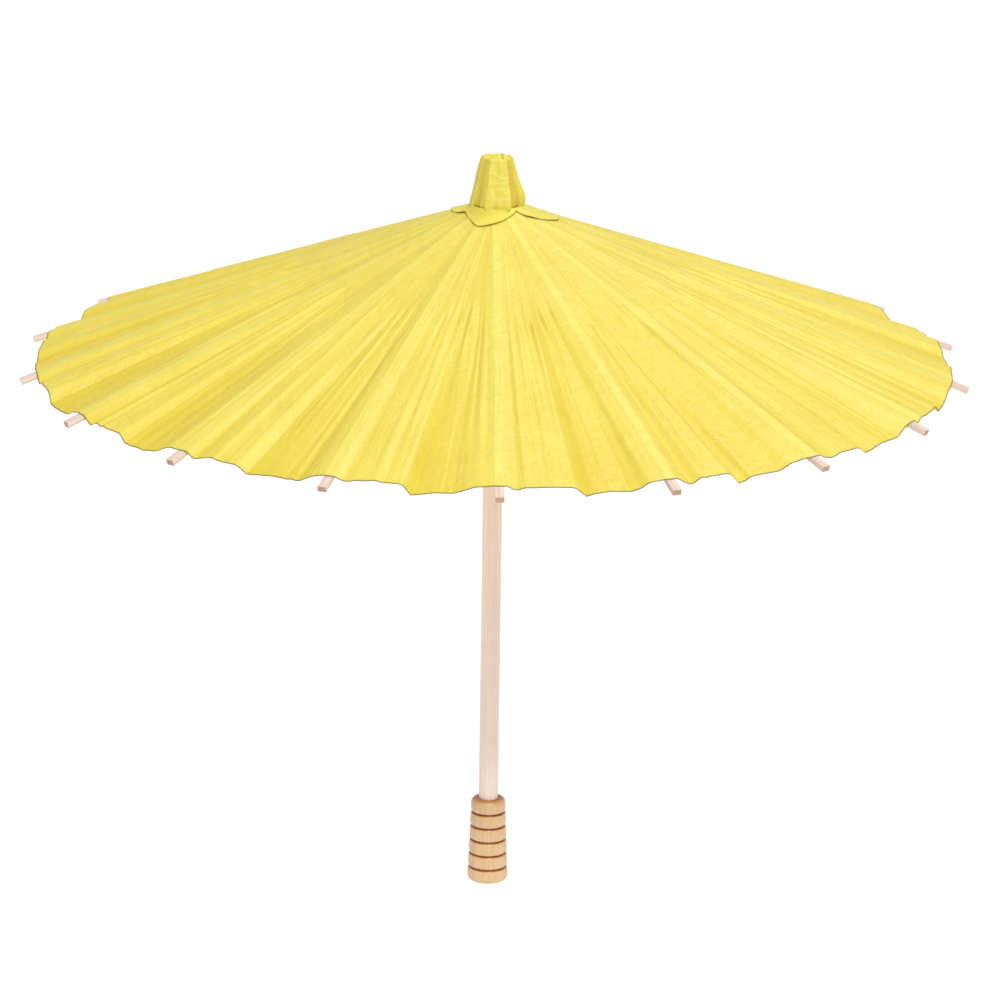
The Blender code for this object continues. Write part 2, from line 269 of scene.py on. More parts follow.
def paper_material(name, through_share, tint=PLAIN, fold_painted_shade=FOLD_PAINTED_SHADE):
    """Yellow mulberry paper: clouded dye, fine fibres, creases that run out from the middle, light
    through it and a dark cut edge, with painted shade in the folds' valleys and painted light on
    the ridges."""
    material, tree, shader = new_material(name, 0.46, 0.7)
    place = uv_place(tree, "paper")
    clouds = noise(tree, place, CLOUD_SCALE, 4, 0.6)
    grain = noise(tree, place, GRAIN_SCALE, 3, 0.7)
    fibres = [noise(tree, mapped(tree, place, scale, turn), 1, 2, 0.5, 0.6) for scale, turn in FIBRES]
    fibres = calculated(tree, "MAXIMUM", *fibres)
    dye = ramp(tree, clouds, (0.3, DYE_DARK), (0.7, DYE_LIGHT))
    dye = tinted(tree, dye, ramp(tree, grain, (0.32, GRAIN_DARK), (0.68, GRAIN_LIGHT)))
    dye = tinted(tree, dye, ramp(tree, fibres, (0.60, PLAIN), (0.74, FIBRE_PALE)), 0.8)
    # Painted shade in the folds' valleys and painted light on the ridges, from the fold depth at each point
    dye = tinted(tree, dye, ramp(tree, point_value(tree, "fold"), (0, RIDGE_PAINTED_LIGHT), (1, fold_painted_shade)))
    dye = tinted(tree, dye, tint)
    dye = mixed(tree, "MIX", point_value(tree, "cut_edge"), dye, CUT_EDGE)
    tree.links.new(dye, shader.inputs["Base Color"])
    around = uv_place(tree, "polar")
    rays = noise(tree, mapped(tree, around, RAY_SCALE), 1, 2, 0.55, 0.5)
    spread = {"Value": part_of(tree, around, "Y"), "From Min": CREASES_BEGIN, "From Max": CREASES_FULL,
              "To Min": CREASES_LEAST, "To Max": 1.0}
    grown = node(tree, "ShaderNodeMapRange", spread).outputs["Result"]
    crumple = calculated(tree, "MULTIPLY", noise(tree, place, CRUMPLE_SCALE, 4, 0.6, 0.4), CRUMPLE_SIZE)
    height = calculated(tree, "ADD", calculated(tree, "MULTIPLY", rays, grown), crumple)
    creased = add_bump(tree, None, height, 0.8, CREASE_HEIGHT)
    normal = add_bump(tree, shader, grain, 0.3, GRAIN_HEIGHT, creased)
    glow = {"Color": tinted(tree, dye, THROUGH_TINT), "Normal": normal}
    through = node(tree, "ShaderNodeBsdfTranslucent", glow)
    share = {0: through_share, 1: shader.outputs[0], 2: through.outputs[0]}
    both = node(tree, "ShaderNodeMixShader", share)
    tree.links.new(both.outputs[0], tree.nodes["Material Output"].inputs["Surface"])
    return material


# Wood
STREAK_SCALE = (14, 700, 700)
BAND_SCALE = (5, 160, 160)
PORE_SCALE = (160, 2600, 2600)
GRAIN_RELIEF = 0.0002
BAND_DARK = (0.94, 0.90, 0.87)
PORE_DARK = (0.6, 0.5, 0.42)
CUT_END = (0.66, 0.50, 0.38)


def wood_material(name, dark, light, roughness, rotation, end=None):
    """Fine straight grain along the material's own X, which rotation turns onto the piece's length.
    Past the end, where a saw has cut across the grain, it is darker."""
    material, tree, shader = new_material(name, roughness, 0.3)
    along = mapped(tree, object_place(tree), rotation=rotation)
    streaks = noise(tree, mapped(tree, along, STREAK_SCALE), 1, 4, 0.6, 0.4)
    bands = noise(tree, mapped(tree, along, BAND_SCALE), 1, 2, 0.5, 0.8)
    pores = noise(tree, mapped(tree, along, PORE_SCALE), 1, 2)
    color = ramp(tree, streaks, (0.32, dark), (0.62, light))
    color = tinted(tree, color, ramp(tree, bands, (0.3, BAND_DARK), (0.65, PLAIN)), 0.6)
    color = tinted(tree, color, ramp(tree, pores, (0.28, PORE_DARK), (0.4, PLAIN)), 0.35)
    if end is not None:
        past = calculated(tree, "GREATER_THAN", part_of(tree, along, "X"), end)
        color = tinted(tree, color, CUT_END, calculated(tree, "MULTIPLY", past, 0.9))
    tree.links.new(color, shader.inputs["Base Color"])
    add_bump(tree, shader, streaks, 0.35, GRAIN_RELIEF)
    return material


HANDLE_STREAK_SCALE = (420, 420, 26)
HANDLE_BAND_SCALE = (130, 130, 12)
WOBBLE_SCALE = 500
HANDLE_DARK = (0.64, 0.40, 0.20)
HANDLE_LIGHT = (0.76, 0.53, 0.30)
HANDLE_BAND = (0.92, 0.84, 0.74)
SCORCHED = (0.72, 0.40, 0.20)
BURNT = (0.24, 0.09, 0.035)


def handle_material():
    """Turned, varnished wood with growth rings and grooves burnt dark."""
    material, tree, shader = new_material("handle_wood", 0.32, 0.5)
    place = object_place(tree)
    streaks = noise(tree, mapped(tree, place, HANDLE_STREAK_SCALE), 1, 4, 0.6, 0.5)
    bands = noise(tree, mapped(tree, place, HANDLE_BAND_SCALE), 1, 3, 0.5, 1.0)
    color = ramp(tree, streaks, (0.25, HANDLE_DARK), (0.7, HANDLE_LIGHT))
    color = tinted(tree, color, ramp(tree, bands, (0.3, HANDLE_BAND), (0.62, PLAIN)), 0.6)
    wobble = calculated(tree, "MULTIPLY", noise(tree, place, WOBBLE_SCALE, 2), 0.5)
    burn = calculated(tree, "MULTIPLY", point_value(tree, "burnt"), calculated(tree, "ADD", wobble, 0.72))
    color = tinted(tree, color, ramp(tree, burn, (0.12, PLAIN), (0.45, SCORCHED), (0.95, BURNT)))
    tree.links.new(color, shader.inputs["Base Color"])
    add_bump(tree, shader, streaks, 0.2, GRAIN_RELIEF)
    shader.inputs["Coat Weight"].default_value = 0.25
    shader.inputs["Coat Roughness"].default_value = 0.2
    return material


def speckled_material(name, roughness, specular, scale, detail, dark, light, metallic=0.0):
    """One colour that noise wavers a little, for small pieces and the floor."""
    material, tree, shader = new_material(name, roughness, specular, metallic)
    color = ramp(tree, noise(tree, object_place(tree), scale, detail), (0.3, dark), (0.7, light))
    tree.links.new(color, shader.inputs["Base Color"])
    return material


# The colours of the pieces
WIRE_DARK = (0.42, 0.40, 0.38)
WIRE_LIGHT = (0.62, 0.61, 0.60)
THREAD_DARK = (0.62, 0.55, 0.42)
THREAD_LIGHT = (0.86, 0.80, 0.68)
FLOOR_DARK = (0.86, 0.86, 0.86)
FLOOR_LIGHT = (0.88, 0.88, 0.88)
CAP_TINT = (0.885, 0.87, 0.62)
# Painted shade: the cap's sunken creases are painted darker and more saturated
CAP_CREASE_PAINTED_SHADE = (0.80, 0.70, 0.42)
STICK_DARK = (0.98, 0.765, 0.675)
STICK_LIGHT = (0.99, 0.83, 0.76)
SLAT_DARK = (0.60, 0.45, 0.36)
SLAT_LIGHT = (0.80, 0.66, 0.56)

# The share of the light that goes through the paper: less over a rib, least where the cap is folded
PAPER_THROUGH = 0.28
STRIP_THROUGH = 0.15
CAP_THROUGH = 0.04

# The Mapping rotation for grain that runs up the shaft
UPRIGHT = (0, pi / 2, 0)


def slat_rotation(index, tilt):
    """The Mapping rotation that brings a piece lying along the rib's own direction onto X."""
    turn = Matrix.Rotation(-tilt, 3, "Y") @ Matrix.Rotation(-rib_azimuth(index), 3, "Z")
    return tuple(turn.to_euler("XYZ"))


# ---------------------------------------------------------------- meshes


def add_mesh(name, points, faces, material):
    mesh = bpy.data.meshes.new(name)
    mesh.from_pydata([tuple(point) for point in points], [], faces)
    mesh.shade_smooth()
    mesh.materials.append(material)
    obj = bpy.data.objects.new(name, mesh)
    bpy.context.scene.collection.objects.link(obj)
    return obj


def grid_faces(rows, columns, closed=False):
    """Quads over a grid of points; when closed, the last column joins the first."""
    faces = []
    across = columns if closed else columns - 1
    for i in range(rows - 1):
        for j in range(across):
            k = (j + 1) % columns
            faces.append((i * columns + j, i * columns + k, (i + 1) * columns + k, (i + 1) * columns + j))
    return faces


def flipped(faces):
    return [tuple(reversed(face)) for face in faces]


def add_paper_map(obj, flat_points, azimuth):
    """UV maps in metres, so that fibres keep their size whatever the piece does later.

    "paper" lies flat, and "polar" runs round the shaft from this azimuth and then outward.
    """
    flat = np.array(flat_points)[:, :2]
    turn = np.arctan2(flat[:, 1], flat[:, 0]) - azimuth
    turn = azimuth + (turn + pi) % (2 * pi) - pi
    polar = np.stack([turn * PAPER_RADIUS, np.hypot(flat[:, 0], flat[:, 1])], -1)
    corners = np.array([loop.vertex_index for loop in obj.data.loops])
    for name, values in (("paper", flat), ("polar", polar)):
        layer = obj.data.uv_layers.new(name=name)
        layer.data.foreach_set("uv", values[corners].astype(np.float32).ravel())


def add_values(obj, name, values):
    """One value a point, which a material reads by name."""
    attribute = obj.data.attributes.new(name, "FLOAT", "POINT")
    attribute.data.foreach_set("value", np.asarray(values, np.float32))


def add_thickness(obj, thickness, offset=0.0):
    solidify = obj.modifiers.new("thickness", "SOLIDIFY")
    solidify.thickness = thickness
    solidify.offset = offset


def apply_modifiers(obj):
    """Replaces the object's mesh with what its modifiers make of it."""
    graph = bpy.context.evaluated_depsgraph_get()
    mesh = bpy.data.meshes.new_from_object(obj.evaluated_get(graph))
    obj.modifiers.clear()
    obj.data = mesh


def turned(name, profile, material, segments):
    """A solid of revolution from (radius, z) points that run down its outer side."""
    points = []
    for radius, z in profile:
        for j in range(segments):
            angle = 2 * pi * j / segments
            points.append((radius * cos(angle), radius * sin(angle), z))
    rows = len(profile)
    faces = flipped(grid_faces(rows, segments, closed=True))
    faces.append(tuple(range(segments)))
    faces.append(tuple(reversed(range((rows - 1) * segments, rows * segments))))
    return add_mesh(name, points, faces, material)


# ---------------------------------------------------------------- canopy


def strip_half(radius):
    """Half the width of the strip glued on a rib, at this distance from the shaft's axis."""
    share = (radius - PAPER_INNER_RADIUS) / (PAPER_RADIUS - PAPER_INNER_RADIUS)
    return STRIP_INNER_HALF + share * (STRIP_OUTER_HALF - STRIP_INNER_HALF)


def slope_height(reach):
    """Height of the paper over a rib at this distance from the shaft's axis."""
    return HEAD_RING + PAPER_OVER_RIB / cos(SLOPE) - (reach - RING_RADIUS) * tan(SLOPE)


def bump(x):
    return np.exp(-(x**2))


def waves(terms, share):
    """Sines of share, half a wave times k each, from (k, size) terms."""
    return sum(size * np.sin(k * pi * share) for k, size in terms)


def up_or_down(rng):
    """The sign of a fold, at random."""
    return rng.choice((-1, 1))


STRIP_INNER_HALF = 0.0020
STRIP_OUTER_HALF = 0.0026
STRIP_COLUMNS = 5
PANEL_COLUMNS = 46
# The share of the gap within which an even column gives way to one on a fold
CLOSE_COLUMNS = 0.006
# Rows from the middle to the pins, round the pins and on to the hem
ROWS = (13, 25, 22)
ROWS_BEFORE_PINS = 0.010
ROWS_PAST_PINS = 0.046
DARK_EDGE = 0.0009
# How far the axis that add_panel works out for a panel's inward tuck leans from straight inward; no panel is
# turned about it
TUCK_SINE = 0.12
# How far the hem is drawn from a round arc to a straight line, and how it wavers
HEM_STRAIGHTEN = 0.25
HEM_REACH = 10
HEM_NOISE = 0.0004
HEM_WAVES = 6
# The fold depth at which the painted shade of a valley is full
FOLD_SHADE_DEPTH = 0.0045
FOLD_ROUND = 0.022
SHARP_SPLIT = 0.1

PUCKERS = 10
PUCKER = {"width": (0.020, 0.045), "size": (0.45, 1.0), "length": (0.2, 0.6)}
NIPS = 4
NIP = {"width": (0.014, 0.022), "size": (0.5, 0.9), "length": (0.05, 0.11)}
FOLDS = 8
CREASES = 5
# Shares and lengths over which relief fades in: at the glued strips, down the slope, and in the middle
HELD_SHARE = 0.04
PLEAT_ALWAYS = 0.05
PLEAT_GROWTH = 1.05
CREASE_LENGTH = 0.7
INNER_FADE = 0.03


class Gap:
    """The paper between one rib and the next, anticlockwise from above.

    Along the hem it drops from the rib to a sharp valley, rises to a ridge, drops to its deepest
    valley, runs low and then rises to the next rib. The pleats start at the ring of stretcher pins,
    where short puckers fan out, and deepen towards the hem.

    Places and widths are shares of the gap, depths are in millimetres, and starts and lengths are
    shares of the way from the pins to the hem.
    """

    def __init__(self, index):
        self.index = index
        rng = Random(SEED * 100 + index)
        first = rng.uniform(0.06, 0.13)
        ridge_start = first + rng.uniform(0.06, 0.10)
        ridge_end = rng.uniform(0.37, 0.45)
        self.split = ridge_end + rng.uniform(0.05, 0.08)
        low_end = rng.uniform(0.72, 0.85)
        near = low_end + rng.uniform(0.08, 0.11)
        # (share of the gap, depth) along the hem
        self.hem = [
            (0.0, 0.0),
            (first, rng.uniform(2.0, 3.6)),
            (ridge_start, rng.uniform(-0.3, 0.6)),
            (0.5 * (ridge_start + ridge_end), rng.uniform(-0.4, 0.9)),
            (ridge_end, rng.uniform(-0.5, 0.4)),
            (self.split, rng.uniform(3.9, 5.5)),
            (0.5 * (self.split + low_end), rng.uniform(2.4, 4.2)),
            (low_end, rng.uniform(2.4, 4.2)),
            (near, rng.uniform(0.1, 0.7)),
            (1.0, 0.0),
        ]
        self.drifts = [(k, rng.uniform(-0.035, 0.035)) for k in (1, 2, 3)]
        self.puckers = [self.pucker(rng, **PUCKER) for _ in range(PUCKERS)]
        self.nips = [self.pucker(rng, **NIP) for _ in range(NIPS)]
        self.folds = [
            (rng.uniform(0.06, 0.94), rng.uniform(0.02, 0.035), up_or_down(rng) * rng.uniform(0.35, 0.9),
             rng.uniform(0.35, 0.9), rng.uniform(0.25, 0.6))
            for _ in range(FOLDS)
        ]
        self.creases = [
            (rng.uniform(0.08, 0.92), rng.uniform(0.03, 0.09), up_or_down(rng) * rng.uniform(0.05, 0.2))
            for _ in range(CREASES)
        ]
        self.sag = (rng.uniform(0.4, 0.62), rng.uniform(0.7, 1.2))
        self.hem_noise = [(k, rng.uniform(-1, 1) / k) for k in range(1, HEM_WAVES + 1)]

    def pucker(self, rng, width, size, length):
        """One pucker: its place in the gap, width, depth, start, length and how softly it starts."""
        return (rng.uniform(0.05, 0.95), rng.uniform(*width), up_or_down(rng) * rng.uniform(*size),
                rng.uniform(-0.07, 0.13), rng.uniform(*length), rng.uniform(0.008, 0.022))

    def hem_depth(self, share):
        """The hem's profile, with every fold but the split's rounded a little."""
        shares, depths = zip(*self.hem)
        reach = FOLD_ROUND * np.clip(np.abs(share - self.split) / SHARP_SPLIT, 0, 1)
        steps = (-1, -0.5, 0, 0.5, 1)
        return sum(np.interp(share + step * reach, shares, depths) for step in steps) / len(steps)

    def relief(self, radius, share):
        """Depth of the paper under the taut surface, in metres, for arrays of radius and share."""
        out = np.clip((radius - PIN_RADIUS) / (PAPER_RADIUS - PIN_RADIUS), -1, 1.1)
        past = np.clip(out, 0, 1.1)
        depth = self.hem_depth(share) * (PLEAT_ALWAYS + (1 - PLEAT_ALWAYS) * past**PLEAT_GROWTH)
        for place, width, size, start, length, onset in self.puckers + self.nips:
            begins = 1 / (1 + np.exp(-(out - start) / onset))
            depth = depth + size * begins * bump((out - start) / length) * bump((share - place) / width)
        for place, width, size, middle, length in self.folds:
            depth = depth + size * bump((out - middle) / length) * bump((share - place) / width)
        for place, width, size in self.creases:
            depth = depth + size * bump(out / CREASE_LENGTH) * bump((share - place) / width)
        held = np.clip(np.minimum(share, 1 - share) / HELD_SHARE, 0, 1)
        inner = np.clip((radius - PAPER_INNER_RADIUS) / INNER_FADE, 0, 1)
        middle, most = self.sag
        slack = np.interp(share, (0, middle, 1), (0, most, 0)) * np.clip(radius / PIN_RADIUS, 0, 1)
        return (depth * held + slack) * inner * MM

    def points(self, radius, share):
        """Row-frame points of the paper for arrays of radius at the ribs and share of the gap."""
        half = strip_half(radius)
        edge = np.arcsin(half / radius)
        past = np.clip((radius - PIN_RADIUS) / (PAPER_RADIUS - PIN_RADIUS), 0, 1)
        drift = waves(self.drifts, share) * (1 - past)
        turn = edge + (share + drift) * (RIB_STEP - 2 * edge)
        middle = turn - RIB_STEP / 2
        bulge = 1 - np.cos(RIB_STEP / 2 - edge) / np.cos(middle)
        waver = waves(self.hem_noise, share) * HEM_NOISE
        outer = np.clip(radius / PAPER_RADIUS, 0, 1) ** HEM_REACH
        reach = radius * (1 - HEM_STRAIGHTEN * bulge * outer) + waver * outer
        z_edge = slope_height(np.sqrt(radius**2 - half**2))
        fall = (reach * np.cos(middle) - radius * np.cos(RIB_STEP / 2 - edge)) * tan(SLOPE)
        z = z_edge - fall - self.relief(radius, share)
        azimuth = rib_azimuth(self.index) + turn
        return np.stack([reach * np.cos(azimuth), reach * np.sin(azimuth), z], -1)


GAPS = [Gap(index) for index in range(RIBS)]


def paper_radii():
    """Row radii: close together round the pins, where the puckers start, and at the hem's dark edge."""
    near = PIN_RADIUS - ROWS_BEFORE_PINS
    far = PIN_RADIUS + ROWS_PAST_PINS
    inner = np.linspace(PAPER_INNER_RADIUS, near, ROWS[0])
    ring = np.linspace(near, far, ROWS[1])[1:]
    outer = np.linspace(far, PAPER_RADIUS, ROWS[2])[1:]
    return np.concatenate([inner, ring, outer[:-1], [PAPER_RADIUS - DARK_EDGE, PAPER_RADIUS]])


def add_sheet(name, points, depth, material, index):
    """A sheet from a grid of points whose last row is its cut edge, riding on this rib."""
    rows, columns = points.shape[:2]
    flat = points.reshape(-1, 3)
    obj = add_mesh(name, flat, flipped(grid_faces(rows, columns)), material)
    add_paper_map(obj, flat, rib_azimuth(index))
    edge = np.zeros((rows, columns), np.float32)
    edge[-1] = 1
    add_values(obj, "cut_edge", edge.ravel())
    # Painted shade: the fold depth darkens valleys; where it is zero or less the paper is painted paler, like
    # a lit ridge
    add_values(obj, "fold", np.clip(depth / FOLD_SHADE_DEPTH, 0, 1).ravel())
    add_thickness(obj, PAPER_THICKNESS)
    apply_modifiers(obj)
    obj.data.set_sharp_from_angle(angle=SHARP_EDGE)
    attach(obj, f"rib_{NUMBERS[index]}")
    return obj


def add_panel(name, gap, low, high, rib_index, side, material):
    """The paper from the rib's edge to the gap's middle pleat. It works out an axis for tucking
    inward as the ribs close, but nothing turns the panel about it.
    """
    stops = {u for u, _ in gap.hem if low < u < high}
    even = np.linspace(low, high, PANEL_COLUMNS)
    free = {u for u in even if all(abs(u - v) > CLOSE_COLUMNS for v in stops)}
    radius, share = np.meshgrid(paper_radii(), np.array(sorted(stops | free)), indexing="ij")
    depth = gap.relief(radius, share)
    obj = add_sheet(name, gap.points(radius, share), depth, material, rib_index)
    place = rib_frame(rib_index)
    ends = []
    for reach in (PAPER_INNER_RADIUS, PAPER_RADIUS):
        ends.append(place @ strip_point(reach, side))
    edge_line = (ends[1] - ends[0]).normalized()
    tuck = Vector((0, side * sqrt(1 - TUCK_SINE**2), TUCK_SINE))
    axis = place.to_3x3() @ tuck
    axis = (axis - axis.dot(edge_line) * edge_line).normalized()
    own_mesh(obj)


def strip_point(radius, column):
    """A point of the strip in its rib's frame; column runs -1 to 1 across it."""
    across = column * strip_half(radius)
    reach = sqrt(radius**2 - across**2)
    along = (reach - RING_RADIUS - PAPER_OVER_RIB * sin(SLOPE)) / cos(SLOPE)
    return Vector((along, across, PAPER_OVER_RIB))


def add_strip(index, material):
    """The paper glued on the rib; it stands for the whole of the rib's paper in the frame."""
    number = NUMBERS[index]
    radii = paper_radii()
    columns = np.linspace(-1, 1, STRIP_COLUMNS)
    place = rib_frame(index)
    points = [place @ strip_point(radius, column) for radius in radii for column in columns]
    grid = np.array(points).reshape(len(radii), len(columns), 3)
    # A fold depth of zero paints the whole strip with the ridges' painted light
    obj = add_sheet(f"canopy_strip_{number}", grid, np.zeros(grid.shape[:2]), material, index)
    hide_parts(f"canopy_gore_{number}")


def add_canopy(material, strip_material):
    for index, number in enumerate(NUMBERS):
        add_strip(index, strip_material)
        after = GAPS[index]
        before = GAPS[index - 1]
        add_panel(f"canopy_after_{number}", after, 0.0, after.split, index, 1, material)
        add_panel(f"canopy_before_{number}", before, before.split, 1.0, index, -1, material)


# ---------------------------------------------------------------- cap and skirt

# (azimuth in degrees, reach in millimetres) round the skirt's torn outline
SKIRT_OUTLINE = (
    (-180, 23.5), (-165, 21.8), (-151, 19.4), (-139, 21.2), (-127, 23.5), (-117, 27.0), (-111, 29.0),
    (-106, 28.8), (-90, 25.4), (-73, 20.4), (-55, 17.0), (-46, 15.4), (-43.5, 19.0), (-41, 21.3),
    (-30, 25.5), (-21, 28.2), (-8, 33.5), (6, 34.8), (20, 31.0), (36, 24.0), (50, 18.5), (62, 23.5),
    (76, 30.0), (90, 31.5), (104, 27.0), (120, 19.0), (134, 22.5), (150, 26.5), (165, 25.5), (180, 23.5),
)
SKIRT_INNER = 0.0138
SKIRT_LIFT = 0.00042
SKIRT_RIPPLE = 0.00016
# The rim curls up past this share of the reach, and the middle rises within this length of the cap
SKIRT_CURL = 0.0004
SKIRT_CURL_FROM = 0.6
SKIRT_NECK = 0.0011
SKIRT_NECK_LENGTH = 0.003
SKIRT_EDGE_DARK = 0.8
SKIRT_ROWS = 16
SKIRT_COLUMNS = 25
SKIRT_EDGE = 0.985

# (azimuth at the foot, azimuth at the top, then radius added at the foot, the middle and the top, mm)
CAP_CREASES = (
    (-178, -174, 0.3, 0.4, 0.3),
    (-160, -152, 0.1, 0.0, -0.2),
    (-138, -138, -1.3, -1.0, -0.7),
    (-113, -112, 0.9, 0.9, 0.6),
    (-92, -86, -0.2, -0.4, -0.4),
    (-76, -72, -0.2, 0.1, 0.2),
    (-61, -56, 1.3, 0.9, 0.6),
    (-57.5, -52.5, -0.8, -1.0, -1.1),
    (-36, -32, -1.3, -1.2, -0.7),
    (-8, -6, 0.4, 0.8, 0.2),
    (20, 18, 0.0, 0.2, -0.1),
    (48, 46, 0.5, 0.3, 0.3),
    (80, 82, -0.6, -0.5, -0.2),
    (104, 100, 0.5, 0.4, 0.2),
    (130, 134, -0.6, -0.5, -0.2),
    (158, 156, 0.3, 0.4, 0.1),
)
CAP_COLUMNS = 216
CAP_SIDE_ROWS = 44
CAP_TOP_ROWS = 14
CAP_FOOT_INSET = 0.0005
CAP_FOOT_DROP = 0.0003
CAP_TOP_RADIUS = 0.0087
CAP_BELOW_TOP = 0.0012
# The depth in millimetres at which the painted shade in the cap's creases is darkest
CAP_DEEPEST = 1.3
CAP_WRINKLES = 9
# Gathers, the tie at the foot and the bulge over it: sizes in millimetres, heights as shares
CAP_GATHERS = (0.30, 0.34)
CAP_GATHER_HEIGHT = 0.12
CAP_TIE = 0.8
CAP_TIE_HEIGHT = 0.05
CAP_BULGE = 1.7
CAP_BULGE_MIDDLE = 0.22
CAP_BULGE_HEIGHT = 0.20
CAP_BULGE_AT = radians(5)
CAP_HOLLOW = -0.2
# The torn rim, and the notch in it, in degrees
CAP_RIM_POINTS = 26
CAP_RIM_SHARE = 0.8
CAP_RIM_GROWTH = 8
CAP_NOTCH_AT = -60
CAP_NOTCH_WIDTH = 15
CAP_NOTCH = 0.0015
# (x, y, radius)
CAP_HOLE = (0.0030, -0.0042, 0.0026)
# How dark the last rows round the hole are: the cut edge, widened into painted shade at the hole
CAP_HOLE_EDGE_AND_SHADE = ((0.4,), (0.85,), (1.0,))
CAP_RIPPLE = 0.00045
CAP_TURN_UP = 0.0010
CAP_TURN_DOWN = 0.0016


def skirt_reach(azimuth):
    """How far from the shaft's axis the skirt reaches, for an array of azimuths."""
    around, reach = zip(*SKIRT_OUTLINE)
    return np.interp((np.degrees(azimuth) + 180) % 360 - 180, around, reach) * MM


def add_skirt(material):
    """The cap's paper, spread over the top of the canopy in petals, one wedge to each rib."""
    share = np.append(np.linspace(0, SKIRT_EDGE, SKIRT_ROWS - 1), 1.0)[:, None]
    for index, number in enumerate(NUMBERS):
        azimuth = rib_azimuth(index) + np.linspace(-RIB_STEP / 2, RIB_STEP / 2, SKIRT_COLUMNS)
        outer = skirt_reach(azimuth)
        radius = SKIRT_INNER + share * (outer - SKIRT_INNER)
        ripple = SKIRT_RIPPLE * np.sin(9 * azimuth + 300 * radius) * share
        curled = np.clip((share - SKIRT_CURL_FROM) / (1 - SKIRT_CURL_FROM), 0, 1) ** 2
        curl = SKIRT_CURL * curled * (1 + 0.8 * np.sin(7 * azimuth + 1))
        neck = SKIRT_NECK * np.clip(1 - (radius - SKIRT_INNER) / SKIRT_NECK_LENGTH, 0, 1) ** 2
        z = slope_height(radius) + SKIRT_LIFT + ripple + curl + neck
        points = np.stack([radius * np.cos(azimuth), radius * np.sin(azimuth), z], -1).reshape(-1, 3)
        faces = flipped(grid_faces(SKIRT_ROWS, SKIRT_COLUMNS))
        obj = add_mesh(f"cap_skirt_{number}", points, faces, material)
        add_paper_map(obj, points, rib_azimuth(index))
        edge = np.zeros((SKIRT_ROWS, SKIRT_COLUMNS), np.float32)
        edge[-1] = SKIRT_EDGE_DARK
        add_values(obj, "cut_edge", edge.ravel())
        add_thickness(obj, PAPER_THICKNESS, 1.0)
        apply_modifiers(obj)
        obj.data.set_sharp_from_angle(angle=SHARP_EDGE)
        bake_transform(obj)


def cap_side(turn, rng):
    """Rows of the cap's side from the foot up, and how far in each point lies, from 0 to 1, which sets
    the painted shade in the cap's sunken creases.
    """
    angle = np.radians(turn)
    foot_at, top_at, foot_out, middle_out, top_out = (np.array(c, float) for c in zip(*CAP_CREASES))
    wrinkles = [(rng.randint(5, 31), rng.uniform(4, 26), rng.uniform(0, 6), rng.uniform(0.01, 0.045))
                for _ in range(CAP_WRINKLES)]
    rim = [rng.uniform(-0.9, 0.8) for _ in range(CAP_RIM_POINTS)]
    rim_at = np.linspace(-180, 180, CAP_RIM_POINTS, endpoint=False)
    rim_height = np.interp(turn, rim_at, rim, period=360) * CAP_RIM_SHARE * MM
    rim_height = rim_height - CAP_NOTCH * bump((turn - CAP_NOTCH_AT) / CAP_NOTCH_WIDTH)
    foot_radius = CAP_FOOT_RADIUS - CAP_FOOT_INSET
    rows = []
    crease_shade = []
    for i in range(CAP_SIDE_ROWS):
        share = i / (CAP_SIDE_ROWS - 1)
        base = foot_radius + share * (CAP_TOP_RADIUS - foot_radius)
        out = np.interp(share, (0, 0.5, 1), (0, 1, 2))
        low, high = (foot_out, middle_out) if out < 1 else (middle_out, top_out)
        added = low + (high - low) * (out % 1 if out < 2 else 1)
        where = np.radians(foot_at + share * (top_at - foot_at))
        radius = base + added * MM
        # How deep the crease lies here, which sets the painted shade there
        crease_shade.append(np.clip(np.interp(turn, foot_at, -added / CAP_DEEPEST, period=360), 0, 1))
        x = np.interp(turn, foot_at, radius * np.cos(where), period=360)
        y = np.interp(turn, foot_at, radius * np.sin(where), period=360)
        wrinkle = sum(size * np.sin(k * angle + rate * share + phase) for k, rate, phase, size in wrinkles)
        coarse, fine = CAP_GATHERS
        gather = coarse * np.sin(13 * angle + 1) + fine * np.sin(21 * angle + 2 * np.sin(3 * angle))
        gather = gather * bump(share / CAP_GATHER_HEIGHT)
        tie = -CAP_TIE * bump(share / CAP_TIE_HEIGHT)
        bulge = CAP_BULGE * bump((share - CAP_BULGE_MIDDLE) / CAP_BULGE_HEIGHT) * np.cos(angle - CAP_BULGE_AT)
        scale = 1 + (wrinkle + gather + tie + np.maximum(bulge, CAP_HOLLOW)) * MM / np.hypot(x, y)
        z = CAP_FOOT - CAP_FOOT_DROP + share * (CAP_TOP - CAP_BELOW_TOP - CAP_FOOT)
        z = z + rim_height * share**CAP_RIM_GROWTH
        rows.append((x * scale, y * scale, np.broadcast_to(z, angle.shape)))
    return rows, crease_shade


def cap_top(rim, turn):
    """Rows of the cap's top, from its rim in to the ragged edge of the hole that the paper leaves."""
    angle = np.radians(turn)
    x, y, z = rim
    hole_x, hole_y, hole = CAP_HOLE
    rows = []
    for i in range(1, CAP_TOP_ROWS + 1):
        share = i / CAP_TOP_ROWS
        ragged = hole * (1 + 0.3 * np.sin(3 * angle + 1) + 0.3 * np.sin(5 * angle) + 0.15 * np.sin(9 * angle))
        inner_x = hole_x + ragged * np.cos(angle)
        inner_y = hole_y + 0.75 * ragged * np.sin(angle)
        fold = CAP_RIPPLE * np.sin(9 * angle + 5 * share + 2) * np.sin(pi * share)
        up = CAP_TURN_UP * np.sin(pi * min(1, share * 1.3)) - CAP_TURN_DOWN * share**3
        height = z * (1 - share) + share * (CAP_TOP - CAP_BELOW_TOP) + up + fold
        rows.append((x + share * (inner_x - x), y + share * (inner_y - y), height))
    return rows


